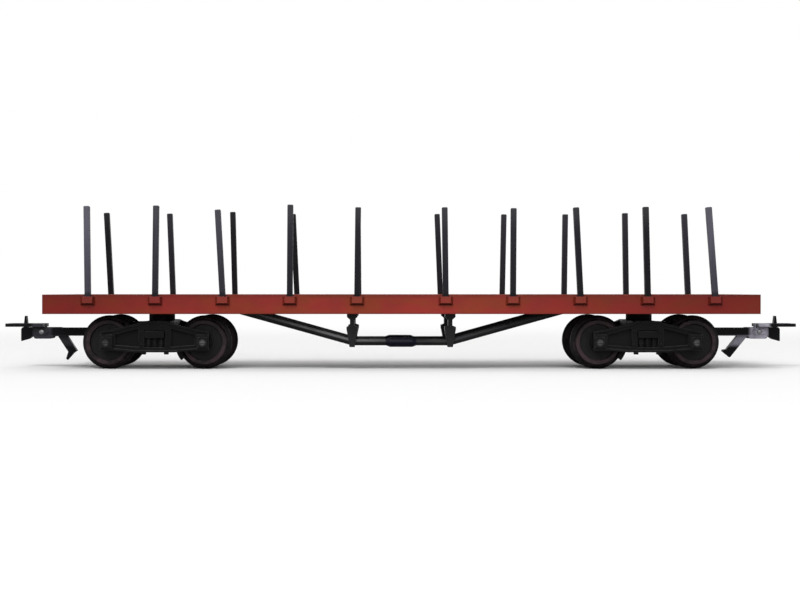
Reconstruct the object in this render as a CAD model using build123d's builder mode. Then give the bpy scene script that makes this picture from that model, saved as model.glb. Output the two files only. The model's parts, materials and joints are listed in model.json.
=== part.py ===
# Scale-model bogie flat wagon with loading stakes, 1:87, on 16.5 mm gauge wheelsets.
# Millimetres. X runs along the wagon, Y across it and Z up.
# The origin is on the surface that the wheel flanges stand on, below the middle of the wagon.
from build123d import *
import os
from math import cos, radians, sin

os.makedirs("parts", exist_ok=True)

# Deck moulding: planked floor, side sills and end sills, open below
deck_length = 164.0
deck_width = 30.0
deck_top = 17.3
deck_corner_radius = 0.4
sill_height = 4.45
sill_wall = 1.0
floor_thickness = 1.0
plank_pitch = 2.5
plank_gap = 0.25
plank_gap_depth = 0.2
plank_recess = 0.1
plank_margin = 1.6

# Stakes, and the pockets on the sills that hold them
stake_size = 1.3
stake_height = 19.8
stake_chamfer = 0.15
stake_end_distance = 10.5
stake_middle_pitch = 20.2
stake_fit = 0.05
stake_inset = 0.1
pocket_width = 3.9
pocket_height = 2.3
pocket_face_width = 2.3
pocket_reach = 0.95
pocket_drop = 0.45
pocket_floor = 0.95
pocket_wall = 0.55

# How far each stake leans along the wagon, in degrees, from the left end to the right end
stake_lean = {
    "near": (-0.7, 0.7, -3.2, 0.4, 0.7, -0.7, 0.4, -2.9, -1.4, -4.3),
    "far": (-3.1, -2.3, -1.5, -2.7, -0.5, -2.3, 1.2, 0.8, -0.8, -2.7),
}

# How far each stake's top stands above the common height, in the same order
stake_rise = {
    "near": (0.4, 0.5, -0.4, 0.7, 0.1, 0.1, -0.1, 0.1, 0.2, 0.2),
    "far": (0.4, 0.2, 0.6, 0.1, 0.1, 0.1, 0.0, 0.0, 0.3, 0.1),
}

# Underframe moulding, and the ballast plate that it closes in
ballast_end_margin = 5.5
ballast_side_margin = 0.5
ballast_thickness = 1.0
base_thickness = 0.8
base_clearance = 0.8
rib_height = 1.5
centre_sill_width = 8.0
centre_sill_web = 1.2
stringer_offset = 7.4
stringer_width = 0.8
bearer_width = 3.0
bolster_width = 6.1
pivot_boss_diameter = 6.1
pivot_boss_depth = 0.2
anchor_length = 3.2
anchor_width = 2.4

# Truss rods and queen posts
truss_inset = 4.5
truss_diameter = 1.5
truss_height = 6.3
truss_slope = 0.278
truss_bend_radius = 2.6
turnbuckle_length = 7.0
turnbuckle_diameter = 2.2
turnbuckle_nose = 0.9
queen_post_spacing = 22.6
queen_pad_width = 2.4
queen_pad_height = 0.9
queen_pad_taper = 0.6
queen_neck_width = 1.0
queen_wing_width = 2.6
queen_wing_rise = 2.8
queen_wing_edge = 0.6
queen_wing_shoulder = 0.3
queen_throat_width = 1.8
queen_foot_width = 1.2
queen_foot_drop = 1.1
queen_depth = 2.6
queen_fit = 0.06

# Wheelsets
tread_diameter = 10.4
tread_cone = 0.12
flange_height = 1.04
flange_thickness = 0.85
flange_tip = 0.25
flange_back_slope = 0.2
flange_back_drop = 0.35
flange_root = 0.08
wheel_width = 2.8
back_to_back = 14.4
rim_depth = 0.95
web_recess = 0.8
web_draft = 0.15
hub_diameter = 3.4
axle_diameter = 2.0
journal_diameter = 1.5
pinpoint_span = 25.0
pinpoint_length = 1.3
pinpoint_clearance = 0.12
press_clearance = 0.01

# Bogies
bogie_overhang = 25.3
wheelbase = 22.2
side_frame_gap = 0.6
side_frame_thickness = 1.5
side_frame_wall = 0.6
side_frame_top = 11.2
side_frame_bottom = 4.0
side_frame_crown = 3.7
crown_bevel_length = 1.1
crown_bevel_drop = 0.5
side_frame_keel = 4.5
side_frame_rim = 0.45
side_frame_rim_height = 0.3
arm_depth = 1.2
column_width = 1.3
spring_window = 4.8
spring_window_floor = 1.1
spring_diameter = 1.0
spring_pitch = 1.45
bolster_end_height = 1.5
bolster_end_reach = 0.35
bolster_end_gap = 0.2
journal_box_width = 2.9
journal_box_height = 3.6
journal_box_reach = 0.8
journal_shoulder = 0.9
lid_width = 2.2
lid_height = 2.6
lid_thickness = 0.3
lid_taper = 20.0
keel_nub_width = 0.9
keel_nub_height = 0.5
keel_nub_spacing = 5.2
transom_width = 6.0
transom_height = 3.0
transom_drop = 0.1
pivot_plate_gap = 0.1
pivot_diameter = 2.4
pivot_clearance = 0.08
pivot_head_diameter = 4.4
pivot_head_height = 0.9
head_gap = 0.1

# Brake gear at each bogie's inner wheels
brake_gap = 0.35
brake_shoe_low = -38.0
brake_shoe_sweep = 46.0
brake_shoe_width = 1.5
brake_side_gap = 0.25
brake_beam_clearance = 0.26
brake_beam_width = 1.0
brake_beam_height = 1.0
brake_beam_drop = 1.64
brake_seat = 0.25
brake_hanger_width = 1.4
brake_hanger_offset = 5.7

# Couplers, with their reaches counted outwards from the bogie's pivot
coupler_pivot_reach = 7.0
coupler_pin_diameter = 2.0
coupler_pin_head = 3.4
coupler_pin_head_height = 0.6
coupler_clearance = 0.1
tongue_thickness = 1.4
tongue_width = 4.8
shank_bottom = 7.5
shank_height = 1.9
shank_width = 2.6
eye_diameter = 4.4
fork_start_reach = 17.4
fork_bridge = 0.8
fork_front_reach = 30.5
fork_width = 3.5
fork_slot = 1.8
loop_lift = 0.25
loop_thickness = 0.75
loop_width = 6.4
loop_bar = 1.0
loop_corner = 1.1
loop_rear_reach = 27.7
loop_stop_reach = 28.9
loop_front_reach = 36.8
cheek_rear_reach = 25.7
cheek_front_reach = 30.2
cheek_drop = 0.7
cheek_round = 0.6
cheek_boss_length = 3.2
cheek_boss_height = 1.4
cheek_boss_thickness = 0.15

# Hooks
hook_pivot_reach = 28.3
hook_pin_diameter = 1.0
hook_pin_fit = 0.06
hook_width = 1.5
hook_tail_thickness = 1.9
hook_foot_root = 0.9
hook_foot_tip = 0.5
hook_front_reach = 33.4
hook_block_length = 2.3
hook_block_bottom = 6.2
hook_block_slope = 0.5
hook_block_throat = 0.6
hook_nose = 0.4
hook_spike_top = 12.2
hook_spike_setback = 1.05
hook_spike_root = 0.95
hook_spike_tip = 0.35
hook_stop_gap = 0.12

# The left hook's tail ends in a foot turned forward, the right one's in a short heel turned back.
# Columns: pivot to knee, slope of the tail in degrees, its length, reach of the foot beyond it (forward is
# positive) and how far the foot's tip hangs below the tail's end.
hook_forms = {
    "left": (4.1, 57.0, 6.0, 1.25, 0.6),
    "right": (3.0, 51.0, 7.1, -0.5, 0.0),
}

# Heights
sill_bottom = deck_top - sill_height
floor_bottom = deck_top - floor_thickness
base_top = floor_bottom - ballast_thickness
base_bottom = base_top - base_thickness
frame_bottom = base_bottom - rib_height
boss_bottom = frame_bottom - pivot_boss_depth
pocket_top = deck_top - pocket_drop
socket_bottom = pocket_top - pocket_height + pocket_floor
axle_height = tread_diameter / 2 + flange_height
transom_top = side_frame_top - transom_drop
transom_bottom = transom_top - transom_height
shank_top = shank_bottom + shank_height
tongue_bottom = shank_top + coupler_clearance
loop_bottom = shank_top + loop_lift

# Places along the wagon
bogie_x = deck_length / 2 - bogie_overhang
queen_x = queen_post_spacing / 2
anchor_x = queen_x + (base_bottom - rib_height / 2 - truss_height) / truss_slope
coupler_pivot_x = bogie_x + coupler_pivot_reach
fork_start = bogie_x + fork_start_reach
fork_front = bogie_x + fork_front_reach
loop_rear = bogie_x + loop_rear_reach
loop_stop = bogie_x + loop_stop_reach
loop_front = bogie_x + loop_front_reach
cheek_rear = bogie_x + cheek_rear_reach
cheek_front = bogie_x + cheek_front_reach
hook_pivot_x = bogie_x + hook_pivot_reach
hook_front = bogie_x + hook_front_reach

# Places across the wagon
stake_y = deck_width / 2 - stake_inset
truss_offset = deck_width / 2 - truss_inset
wheel_back = back_to_back / 2
wheel_face = wheel_back + wheel_width
side_frame_inner = wheel_face + side_frame_gap

# Stations of the stakes from the left end to the right end
stakes_per_half = len(stake_lean["near"]) // 2
stake_pitch = (deck_length / 2 - stake_end_distance - stake_middle_pitch / 2) / (stakes_per_half - 1)
half_stations = [stake_middle_pitch / 2 + i * stake_pitch for i in range(stakes_per_half)]
stake_stations = [-x for x in reversed(half_stations)] + half_stations

ends = ("left", "right")
sides = {"near": -1, "far": 1}
other_side = {"near": "far", "far": "near"}


def save(part, name):
    part.label = name
    export_step(part, f"parts/{name}.step")


# Pieces that both ends share are drawn at the right-hand end, and turned half round for the left-hand one
def at_end(part, end):
    return part.rotate(Axis.Z, 180) if end == "left" else part


# Deck moulding
plank_field_length = deck_length - 2 * plank_margin
plank_field_width = deck_width - 2 * plank_margin
plank_gap_count = 2 * int(plank_field_length / plank_pitch / 2)
pocket_slope = (pocket_width - pocket_face_width) / 2
socket_size = stake_size + 2 * stake_fit
with BuildPart() as deck:
    with BuildSketch(Plane.XY.offset(sill_bottom)):
        Rectangle(deck_length, deck_width)
    extrude(amount=sill_height)
    fillet(deck.edges().filter_by(Axis.Z), deck_corner_radius)
    with BuildSketch(Plane.XY.offset(sill_bottom)):
        Rectangle(deck_length - 2 * sill_wall, deck_width - 2 * sill_wall)
    extrude(amount=sill_height - floor_thickness, mode=Mode.SUBTRACT)
    # Each pocket is a block through the sill with a tapered front
    near_face = Plane(origin=(0, -deck_width / 2, pocket_top), x_dir=(1, 0, 0), z_dir=(0, -1, 0))
    for x in stake_stations:
        with BuildSketch(near_face):
            with Locations((x, 0)):
                Rectangle(pocket_width, pocket_height, align=(Align.CENTER, Align.MAX))
        extrude(amount=-(sill_wall + pocket_wall))
        with BuildSketch(near_face.offset(-sill_wall / 2)):
            with Locations((x, 0)):
                Rectangle(pocket_width, pocket_height, align=(Align.CENTER, Align.MAX))
        with BuildSketch(near_face.offset(pocket_reach)):
            with Locations((x, 0)):
                Rectangle(pocket_face_width, pocket_height - pocket_slope, align=(Align.CENTER, Align.MAX))
        loft()
    with BuildSketch(Plane.XY.offset(deck_top)):
        with Locations(*[(x, -stake_y) for x in stake_stations]):
            Rectangle(socket_size, socket_size)
    extrude(amount=socket_bottom - deck_top, mode=Mode.SUBTRACT)
    split(bisect_by=Plane.XZ, keep=Keep.TOP)
    mirror(about=Plane.XZ)
    # Planks lie a little below the rim, with gaps between them
    with BuildSketch(Plane.XY.offset(deck_top)):
        Rectangle(plank_field_length, plank_field_width)
    extrude(amount=-plank_recess, mode=Mode.SUBTRACT)
    with BuildSketch(Plane.XY.offset(deck_top)):
        with GridLocations(plank_pitch, 0, plank_gap_count, 1):
            Rectangle(plank_gap, plank_field_width)
    extrude(amount=-plank_recess - plank_gap_depth, mode=Mode.SUBTRACT)
save(deck.part, "deck")

# Stakes: a square foot that stands in the pocket, and a shaft that leans from the deck upwards
for side, sign in sides.items():
    forms = zip(stake_stations, stake_lean[side], stake_rise[side])
    for number, (x, lean, rise) in enumerate(forms, start=1):
        tilt = radians(lean)
        shaft_plane = Plane(
            origin=(x, sign * stake_y, deck_top),
            x_dir=(cos(tilt), 0, -sin(tilt)),
            z_dir=(sin(tilt), 0, cos(tilt)),
        )
        with BuildPart() as stake:
            with BuildSketch(Plane.XY.offset(socket_bottom)):
                with Locations((x, sign * stake_y)):
                    Rectangle(stake_size, stake_size)
            extrude(amount=deck_top + stake_chamfer - socket_bottom)
            with BuildSketch(shaft_plane):
                Rectangle(stake_size, stake_size)
            extrude(amount=stake_height + rise)
            chamfer(stake.faces().sort_by(Axis.Z)[-1].edges(), stake_chamfer)
        save(stake.part, f"stake_{side}_{number:02d}")

# Ballast plate under the floor
base_width = deck_width - 2 * (sill_wall + pocket_wall + base_clearance)
base_length = deck_length - 2 * (sill_wall + base_clearance)
with BuildPart() as ballast:
    with BuildSketch(Plane.XY.offset(base_top)):
        Rectangle(base_length - 2 * ballast_end_margin, base_width - 2 * ballast_side_margin)
    extrude(amount=ballast_thickness)
save(ballast.part, "ballast_plate")

# Underframe moulding: base plate, centre sill, stringers, cross-bearers, bolsters, anchors and pivot bosses
bolster_places = [(-bogie_x, 0), (bogie_x, 0)]
web_y = (centre_sill_width - centre_sill_web) / 2
anchor_middle = anchor_x + anchor_length / 2
with BuildPart() as underframe:
    with BuildSketch(Plane.XY.offset(base_bottom)):
        Rectangle(base_length, base_width)
    extrude(amount=base_thickness)
    with BuildSketch(Plane.XY.offset(base_bottom)):
        with Locations((0, -web_y), (0, web_y)):
            Rectangle(base_length, centre_sill_web)
        with Locations((0, -stringer_offset), (0, stringer_offset)):
            Rectangle(2 * bogie_x, stringer_width)
        with Locations((-queen_x, 0), (queen_x, 0)):
            Rectangle(bearer_width, base_width)
        with Locations(*bolster_places):
            Rectangle(bolster_width, base_width)
        with GridLocations(2 * anchor_middle, 2 * truss_offset, 2, 2):
            Rectangle(anchor_length, anchor_width)
    extrude(amount=-rib_height)
    with BuildSketch(Plane.XY.offset(frame_bottom)):
        with Locations(*bolster_places):
            Circle(pivot_boss_diameter / 2)
    extrude(amount=-pivot_boss_depth)
    with BuildSketch(Plane.XY.offset(base_top)):
        with Locations(*bolster_places):
            Circle(pivot_diameter / 2 + press_clearance)
    extrude(amount=boss_bottom - base_top, mode=Mode.SUBTRACT)
save(underframe.part, "underframe")

# Truss rods: each runs from anchor to anchor under the queen posts, with a turnbuckle in the middle
rod_end_x = anchor_x + truss_diameter
rod_end_z = truss_height + (rod_end_x - queen_x) * truss_slope
for side, sign in sides.items():
    rod_y = sign * truss_offset
    with BuildPart() as truss:
        with BuildLine() as rod_path:
            FilletPolyline(
                (-rod_end_x, rod_y, rod_end_z),
                (-queen_x, rod_y, truss_height),
                (queen_x, rod_y, truss_height),
                (rod_end_x, rod_y, rod_end_z),
                radius=truss_bend_radius,
            )
        with BuildSketch(rod_path.line ^ 0):
            Circle(truss_diameter / 2)
        sweep(path=rod_path.line)
        split(bisect_by=Plane.YZ.offset(anchor_x), keep=Keep.BOTTOM)
        split(bisect_by=Plane.YZ.offset(-anchor_x), keep=Keep.TOP)
        barrel_plane = Plane(origin=(0, rod_y, truss_height), x_dir=(1, 0, 0), z_dir=(0, -1, 0))
        with BuildSketch(barrel_plane):
            with BuildLine():
                Polyline(
                    (-turnbuckle_length / 2, 0),
                    (-turnbuckle_length / 2, truss_diameter / 2),
                    (-turnbuckle_length / 2 + turnbuckle_nose, turnbuckle_diameter / 2),
                    (turnbuckle_length / 2 - turnbuckle_nose, turnbuckle_diameter / 2),
                    (turnbuckle_length / 2, truss_diameter / 2),
                    (turnbuckle_length / 2, 0),
                    close=True,
                )
            make_face()
        revolve(axis=Axis((0, rod_y, truss_height), (1, 0, 0)))
    save(truss.part, f"truss_rod_{side}")

# Queen posts: a pad under the cross-bearer, a neck, and a winged fork that straddles the truss rod
rod_top = truss_height + truss_diameter / 2
wing_top = rod_top + queen_wing_rise
fork_roof = rod_top + truss_slope * queen_throat_width / 2 + queen_fit
post_foot = truss_height - queen_foot_drop
post_outline = [
    (queen_pad_width / 2, frame_bottom),
    (queen_pad_width / 2, frame_bottom - queen_pad_height),
    (queen_neck_width / 2, frame_bottom - queen_pad_height - queen_pad_taper),
    (queen_neck_width / 2, wing_top + queen_wing_shoulder),
    (queen_wing_width / 2, wing_top),
    (queen_wing_width / 2, wing_top - queen_wing_edge),
    (queen_throat_width / 2, fork_roof),
    (queen_foot_width / 2, post_foot),
]
for side, sign in sides.items():
    for end, x in (("left", -queen_x), ("right", queen_x)):
        post_plane = Plane(origin=(x, sign * truss_offset, 0), x_dir=(1, 0, 0), z_dir=(0, -1, 0))
        with BuildPart() as post:
            with BuildSketch(post_plane):
                with BuildLine():
                    Polyline(*post_outline, *[(-x, z) for x, z in reversed(post_outline)], close=True)
                make_face()
            extrude(amount=queen_depth / 2, both=True)
            with BuildSketch(post_plane):
                with Locations((0, post_foot)):
                    Rectangle(queen_wing_width, fork_roof - post_foot, align=(Align.CENTER, Align.MIN))
            extrude(amount=truss_diameter / 2 + queen_fit, both=True, mode=Mode.SUBTRACT)
        save(post.part, f"queen_post_{side}_{end}")

# Bogie pivots: screws headed below the transom and driven up into the underframe's bosses
with BuildPart() as pivot:
    with BuildSketch(Plane.XY.offset(transom_bottom - head_gap)):
        with Locations((bogie_x, 0)):
            Circle(pivot_head_diameter / 2)
    extrude(amount=-pivot_head_height)
    with BuildSketch(Plane.XY.offset(transom_bottom - head_gap)):
        with Locations((bogie_x, 0)):
            Circle(pivot_diameter / 2)
    extrude(amount=base_top - transom_bottom + head_gap)
for end in ends:
    save(at_end(pivot.part, end), f"bogie_pivot_{end}")

# Wheelsets: pinpoint axles, and wheels turned with flange, coned tread, rim, web and hub
flange_radius = tread_diameter / 2 + flange_height
axle_shoulder = wheel_face + side_frame_gap / 2
axle_tip = pinpoint_span / 2
wheel_bore = axle_diameter / 2 + press_clearance
rim_radius = tread_diameter / 2 - rim_depth
wheel_outline = [
    (wheel_back, wheel_bore),
    (wheel_back, flange_radius - flange_back_drop),
    (wheel_back + flange_back_slope, flange_radius),
    (wheel_back + flange_back_slope + flange_tip, flange_radius),
    (wheel_back + flange_thickness, tread_diameter / 2 + flange_root),
    (wheel_face, tread_diameter / 2 - tread_cone),
    (wheel_face, rim_radius),
    (wheel_face - web_recess, rim_radius - web_draft),
    (wheel_face - web_recess, hub_diameter / 2 + web_draft),
    (wheel_face, hub_diameter / 2),
    (wheel_face, wheel_bore),
]
axle_half = [
    (axle_shoulder, axle_diameter / 2),
    (axle_shoulder, journal_diameter / 2),
    (axle_tip - pinpoint_length, journal_diameter / 2),
    (axle_tip, 0),
]
for place, axle_reach in (("inner", -wheelbase / 2), ("outer", wheelbase / 2)):
    axle_middle = (bogie_x + axle_reach, 0, axle_height)
    turning_plane = Plane(origin=axle_middle, x_dir=(0, 1, 0), z_dir=(1, 0, 0))
    with BuildPart() as axle:
        with BuildSketch(turning_plane):
            with BuildLine():
                Polyline(*axle_half, *[(-y, r) for y, r in reversed(axle_half)], close=True)
            make_face()
        revolve(axis=Axis(axle_middle, (0, 1, 0)))
    for end in ends:
        save(at_end(axle.part, end), f"axle_{end}_{place}")
    for side, sign in sides.items():
        with BuildPart() as wheel:
            with BuildSketch(turning_plane):
                with BuildLine():
                    Polyline(*[(sign * y, r) for y, r in wheel_outline], close=True)
                make_face()
            revolve(axis=Axis(axle_middle, (0, 1, 0)))
        save(wheel.part, f"wheel_right_{place}_{side}")
        save(at_end(wheel.part, "left"), f"wheel_left_{place}_{other_side[side]}")

# Bogie frames: two cast-pattern side frames in one moulding with transom, coupler tongue and brake gear
half_base = wheelbase / 2
box_half = journal_box_width / 2
box_top = axle_height + journal_box_height / 2
box_bottom = axle_height - journal_box_height / 2
window_half = spring_window / 2
window_bottom = side_frame_bottom + spring_window_floor
bolster_end_top = transom_bottom + bolster_end_height / 2
frame_outline = [
    (side_frame_crown - crown_bevel_length, side_frame_top),
    (side_frame_crown, side_frame_top - crown_bevel_drop),
    (half_base - box_half, box_top + arm_depth),
    (half_base + box_half, box_top + arm_depth / 2),
    (half_base + box_half, box_bottom + journal_shoulder / 2),
    (half_base + box_half - journal_shoulder, box_bottom),
    (half_base - box_half, box_bottom),
    (side_frame_keel, side_frame_bottom),
]
arm_window = [
    (window_half + column_width, side_frame_top - crown_bevel_drop - arm_depth),
    (half_base - box_half - journal_shoulder / 2, box_top),
    (half_base - box_half - journal_shoulder / 2, box_bottom + arm_depth),
    (window_half + column_width, side_frame_bottom + arm_depth),
]
shoe_inner_radius = tread_diameter / 2 + brake_gap
shoe_outer_radius = flange_radius + brake_beam_clearance + brake_seat
shoe_inner_y = wheel_back + flange_thickness + brake_side_gap
shoe_outer_y = shoe_inner_y + brake_shoe_width
beam_back = flange_radius + brake_beam_clearance - half_base
beam_front = beam_back + brake_beam_width
beam_bottom = axle_height - brake_beam_drop
hanger_top = transom_bottom + brake_beam_height
cup_tip = axle_tip + pinpoint_clearance
cup_mouth = journal_diameter / 2 + pinpoint_clearance
with BuildPart() as bogie:
    # Near half; its planes face outwards, with their origin below the bogie's pivot
    inner_face = Plane(origin=(bogie_x, -side_frame_inner, 0), x_dir=(1, 0, 0), z_dir=(0, -1, 0))
    middle_face = inner_face.offset(-side_frame_inner)
    outer_face = inner_face.offset(side_frame_thickness)
    lid_face = outer_face.offset(journal_box_reach)
    with BuildSketch(inner_face):
        with BuildLine():
            Polyline(*frame_outline, *[(-x, z) for x, z in reversed(frame_outline)], close=True)
        make_face()
    extrude(amount=side_frame_wall)
    # The windows between the arms are blind recesses
    with BuildSketch(inner_face.offset(side_frame_wall)):
        with BuildLine():
            Polyline(*frame_outline, *[(-x, z) for x, z in reversed(frame_outline)], close=True)
        make_face()
        for hand in (-1, 1):
            with BuildLine():
                Polyline(*[(hand * x, z) for x, z in arm_window], close=True)
            make_face(mode=Mode.SUBTRACT)
        with Locations((0, window_bottom)):
            window_height = bolster_end_top + bolster_end_gap - window_bottom
            Rectangle(spring_window, window_height, align=(Align.CENTER, Align.MIN), mode=Mode.SUBTRACT)
    extrude(amount=side_frame_thickness - side_frame_wall)
    # A raised rim follows the casting's outline
    with BuildSketch(outer_face):
        with BuildLine():
            Polyline(*frame_outline, *[(-x, z) for x, z in reversed(frame_outline)], close=True)
        make_face()
        offset(amount=-side_frame_rim, kind=Kind.INTERSECTION, mode=Mode.SUBTRACT)
    extrude(amount=side_frame_rim_height)
    # Journal boxes with tapered lids
    with BuildSketch(outer_face):
        with Locations((-half_base, axle_height), (half_base, axle_height)):
            Rectangle(journal_box_width, journal_box_height)
    extrude(amount=journal_box_reach)
    with BuildSketch(lid_face):
        with Locations((-half_base, axle_height), (half_base, axle_height)):
            Rectangle(lid_width, lid_height)
    extrude(amount=lid_thickness, taper=lid_taper)
    # Bolster end on its springs
    with BuildSketch(outer_face.offset(bolster_end_reach)):
        with Locations((0, transom_bottom)):
            Rectangle(spring_window - 2 * bolster_end_gap, bolster_end_height)
    extrude(amount=-(side_frame_thickness + bolster_end_reach + column_width))
    with BuildSketch(Plane.XY.offset(side_frame_bottom)):
        with Locations((bogie_x, -(side_frame_inner + side_frame_thickness / 2))):
            with GridLocations(spring_pitch, 0, 3, 1):
                Circle(spring_diameter / 2)
    extrude(amount=transom_bottom - side_frame_bottom)
    # Nubs under the casting
    with BuildSketch(inner_face):
        with Locations((0, side_frame_bottom - keel_nub_height)):
            with GridLocations(keel_nub_spacing, 0, 2, 1):
                Rectangle(keel_nub_width, 2 * keel_nub_height, align=(Align.CENTER, Align.MIN))
    extrude(amount=side_frame_thickness)
    # Brake shoe, hanger and half of the beam
    with BuildSketch(middle_face.offset(shoe_inner_y)):
        with BuildLine():
            inner_arc = CenterArc(
                (-half_base, axle_height), shoe_inner_radius, brake_shoe_low, brake_shoe_sweep
            )
            outer_arc = CenterArc(
                (-half_base, axle_height), shoe_outer_radius, brake_shoe_low, brake_shoe_sweep
            )
            Line(inner_arc @ 0, outer_arc @ 0)
            Line(inner_arc @ 1, outer_arc @ 1)
        make_face()
    extrude(amount=brake_shoe_width)
    with BuildSketch(middle_face):
        with Locations((beam_back, beam_bottom)):
            Rectangle(brake_beam_width, brake_beam_height, align=(Align.MIN, Align.MIN))
    extrude(amount=shoe_outer_y)
    with BuildSketch(middle_face.offset(brake_hanger_offset - brake_hanger_width / 2)):
        with BuildLine():
            Polyline(
                (beam_back, beam_bottom),
                (beam_front, beam_bottom),
                (beam_front, transom_bottom),
                (0, transom_bottom),
                (0, hanger_top),
                (beam_back, hanger_top),
                close=True,
            )
        make_face()
    extrude(amount=brake_hanger_width)
    # Conical cups for the axle's pinpoints
    for hand in (-1, 1):
        cup_axle = (bogie_x + hand * half_base, 0, axle_height)
        with BuildSketch(Plane(origin=cup_axle, x_dir=(0, 1, 0), z_dir=(1, 0, 0))):
            with BuildLine():
                Polyline(
                    (-side_frame_inner, 0),
                    (-side_frame_inner, cup_mouth),
                    (-(cup_tip - pinpoint_length), cup_mouth),
                    (-cup_tip, 0),
                    close=True,
                )
            make_face()
        revolve(axis=Axis(cup_axle, (0, 1, 0)), mode=Mode.SUBTRACT)
    # Half of the transom, then the far half
    with BuildSketch(middle_face):
        with Locations((0, transom_bottom)):
            Rectangle(transom_width, transom_height, align=(Align.CENTER, Align.MIN))
    extrude(amount=side_frame_inner)
    mirror(about=Plane.XZ)
    # Pivot plate, coupler tongue and their holes
    with BuildSketch(Plane.XY.offset(transom_top)):
        with Locations((bogie_x, 0)):
            Circle(pivot_boss_diameter / 2)
    extrude(amount=boss_bottom - pivot_plate_gap - transom_top)
    with BuildSketch(Plane.XY.offset(tongue_bottom)):
        with Locations((bogie_x, 0)):
            Rectangle(coupler_pivot_reach, tongue_width, align=(Align.MIN, Align.CENTER))
        with Locations((coupler_pivot_x, 0)):
            Circle(tongue_width / 2)
            Circle(coupler_pin_diameter / 2 + press_clearance, mode=Mode.SUBTRACT)
    extrude(amount=tongue_thickness)
    with BuildSketch(Plane.XY.offset(transom_bottom)):
        with Locations((bogie_x, 0)):
            Circle(pivot_diameter / 2 + pivot_clearance)
    extrude(amount=boss_bottom - transom_bottom, mode=Mode.SUBTRACT)
for end in ends:
    save(at_end(bogie.part, end), f"bogie_frame_{end}")

# Coupler pins: headed pins that hang each coupler's eye below the bogie's tongue
with BuildPart() as coupler_pin:
    with BuildSketch(Plane.XY.offset(shank_bottom - coupler_clearance)):
        with Locations((coupler_pivot_x, 0)):
            Circle(coupler_pin_head / 2)
    extrude(amount=-coupler_pin_head_height)
    with BuildSketch(Plane.XY.offset(shank_bottom - coupler_clearance)):
        with Locations((coupler_pivot_x, 0)):
            Circle(coupler_pin_diameter / 2)
    extrude(amount=tongue_bottom + tongue_thickness - shank_bottom + coupler_clearance)
for end in ends:
    save(at_end(coupler_pin.part, end), f"coupler_pin_{end}")

# Couplers: an eye, a shank, a fork for the hook and a flat loop in front
hook_pivot_z = shank_bottom + shank_height / 2
from_rear = (Align.MIN, Align.CENTER)
with BuildPart() as coupler:
    with BuildSketch(Plane.XY.offset(shank_bottom)):
        with Locations((coupler_pivot_x, 0)):
            Circle(eye_diameter / 2)
            Rectangle(fork_start - coupler_pivot_x, shank_width, align=from_rear)
            Circle(coupler_pin_diameter / 2 + pivot_clearance, mode=Mode.SUBTRACT)
        with Locations((fork_start, 0)):
            Rectangle(fork_front - fork_start, fork_width, align=from_rear)
    extrude(amount=shank_height)
    # Cheeks of the fork hang lower round the hook's pin, with an oblong boss on each
    with BuildSketch(Plane.XZ) as cheek:
        with Locations((cheek_rear, shank_bottom - cheek_drop)):
            Rectangle(cheek_front - cheek_rear, cheek_drop + cheek_round, align=(Align.MIN, Align.MIN))
        fillet(cheek.vertices().group_by(Axis.Z)[0], cheek_round)
    extrude(amount=fork_width / 2, both=True)
    with BuildSketch(Plane.XZ):
        with Locations((hook_pivot_x, hook_pivot_z)):
            SlotOverall(cheek_boss_length, cheek_boss_height)
    extrude(amount=fork_width / 2 + cheek_boss_thickness, both=True)
    with BuildSketch(Plane.XY.offset(shank_bottom - cheek_drop)):
        with Locations((fork_start + fork_bridge, 0)):
            Rectangle(fork_front - fork_start, fork_slot, align=from_rear)
    extrude(amount=cheek_drop + shank_height, mode=Mode.SUBTRACT)
    with BuildSketch(Plane.XY.offset(shank_top)):
        with Locations((loop_rear, 0)):
            Rectangle(fork_front - loop_rear, fork_width, align=from_rear)
            Rectangle(fork_front - loop_rear, fork_slot, align=from_rear, mode=Mode.SUBTRACT)
    extrude(amount=loop_lift)
    with BuildSketch(Plane.XY.offset(loop_bottom)) as loop:
        with Locations((loop_rear, 0)):
            Rectangle(loop_front - loop_rear, loop_width, align=from_rear)
        fillet(loop.vertices().sort_by(Axis.X)[-2:], loop_corner)
        with Locations((loop_rear, 0)):
            Rectangle(loop_stop - loop_rear, fork_slot, align=from_rear, mode=Mode.SUBTRACT)
        with Locations((fork_front, 0)):
            eye_length = loop_front - loop_bar - fork_front
            Rectangle(eye_length, loop_width - 2 * loop_bar, align=from_rear, mode=Mode.SUBTRACT)
    extrude(amount=loop_thickness)
    with BuildSketch(Plane.XZ):
        with Locations((hook_pivot_x, hook_pivot_z)):
            Circle(hook_pin_diameter / 2 + press_clearance)
    extrude(amount=fork_width, both=True, mode=Mode.SUBTRACT)
for end in ends:
    save(at_end(coupler.part, end), f"coupler_{end}")

# Hook pins across the forks
with BuildPart() as hook_pin:
    with BuildSketch(Plane.XZ):
        with Locations((hook_pivot_x, hook_pivot_z)):
            Circle(hook_pin_diameter / 2)
    extrude(amount=fork_width / 2 + cheek_boss_thickness, both=True)
for end in ends:
    save(at_end(hook_pin.part, end), f"hook_pin_{end}")

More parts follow.
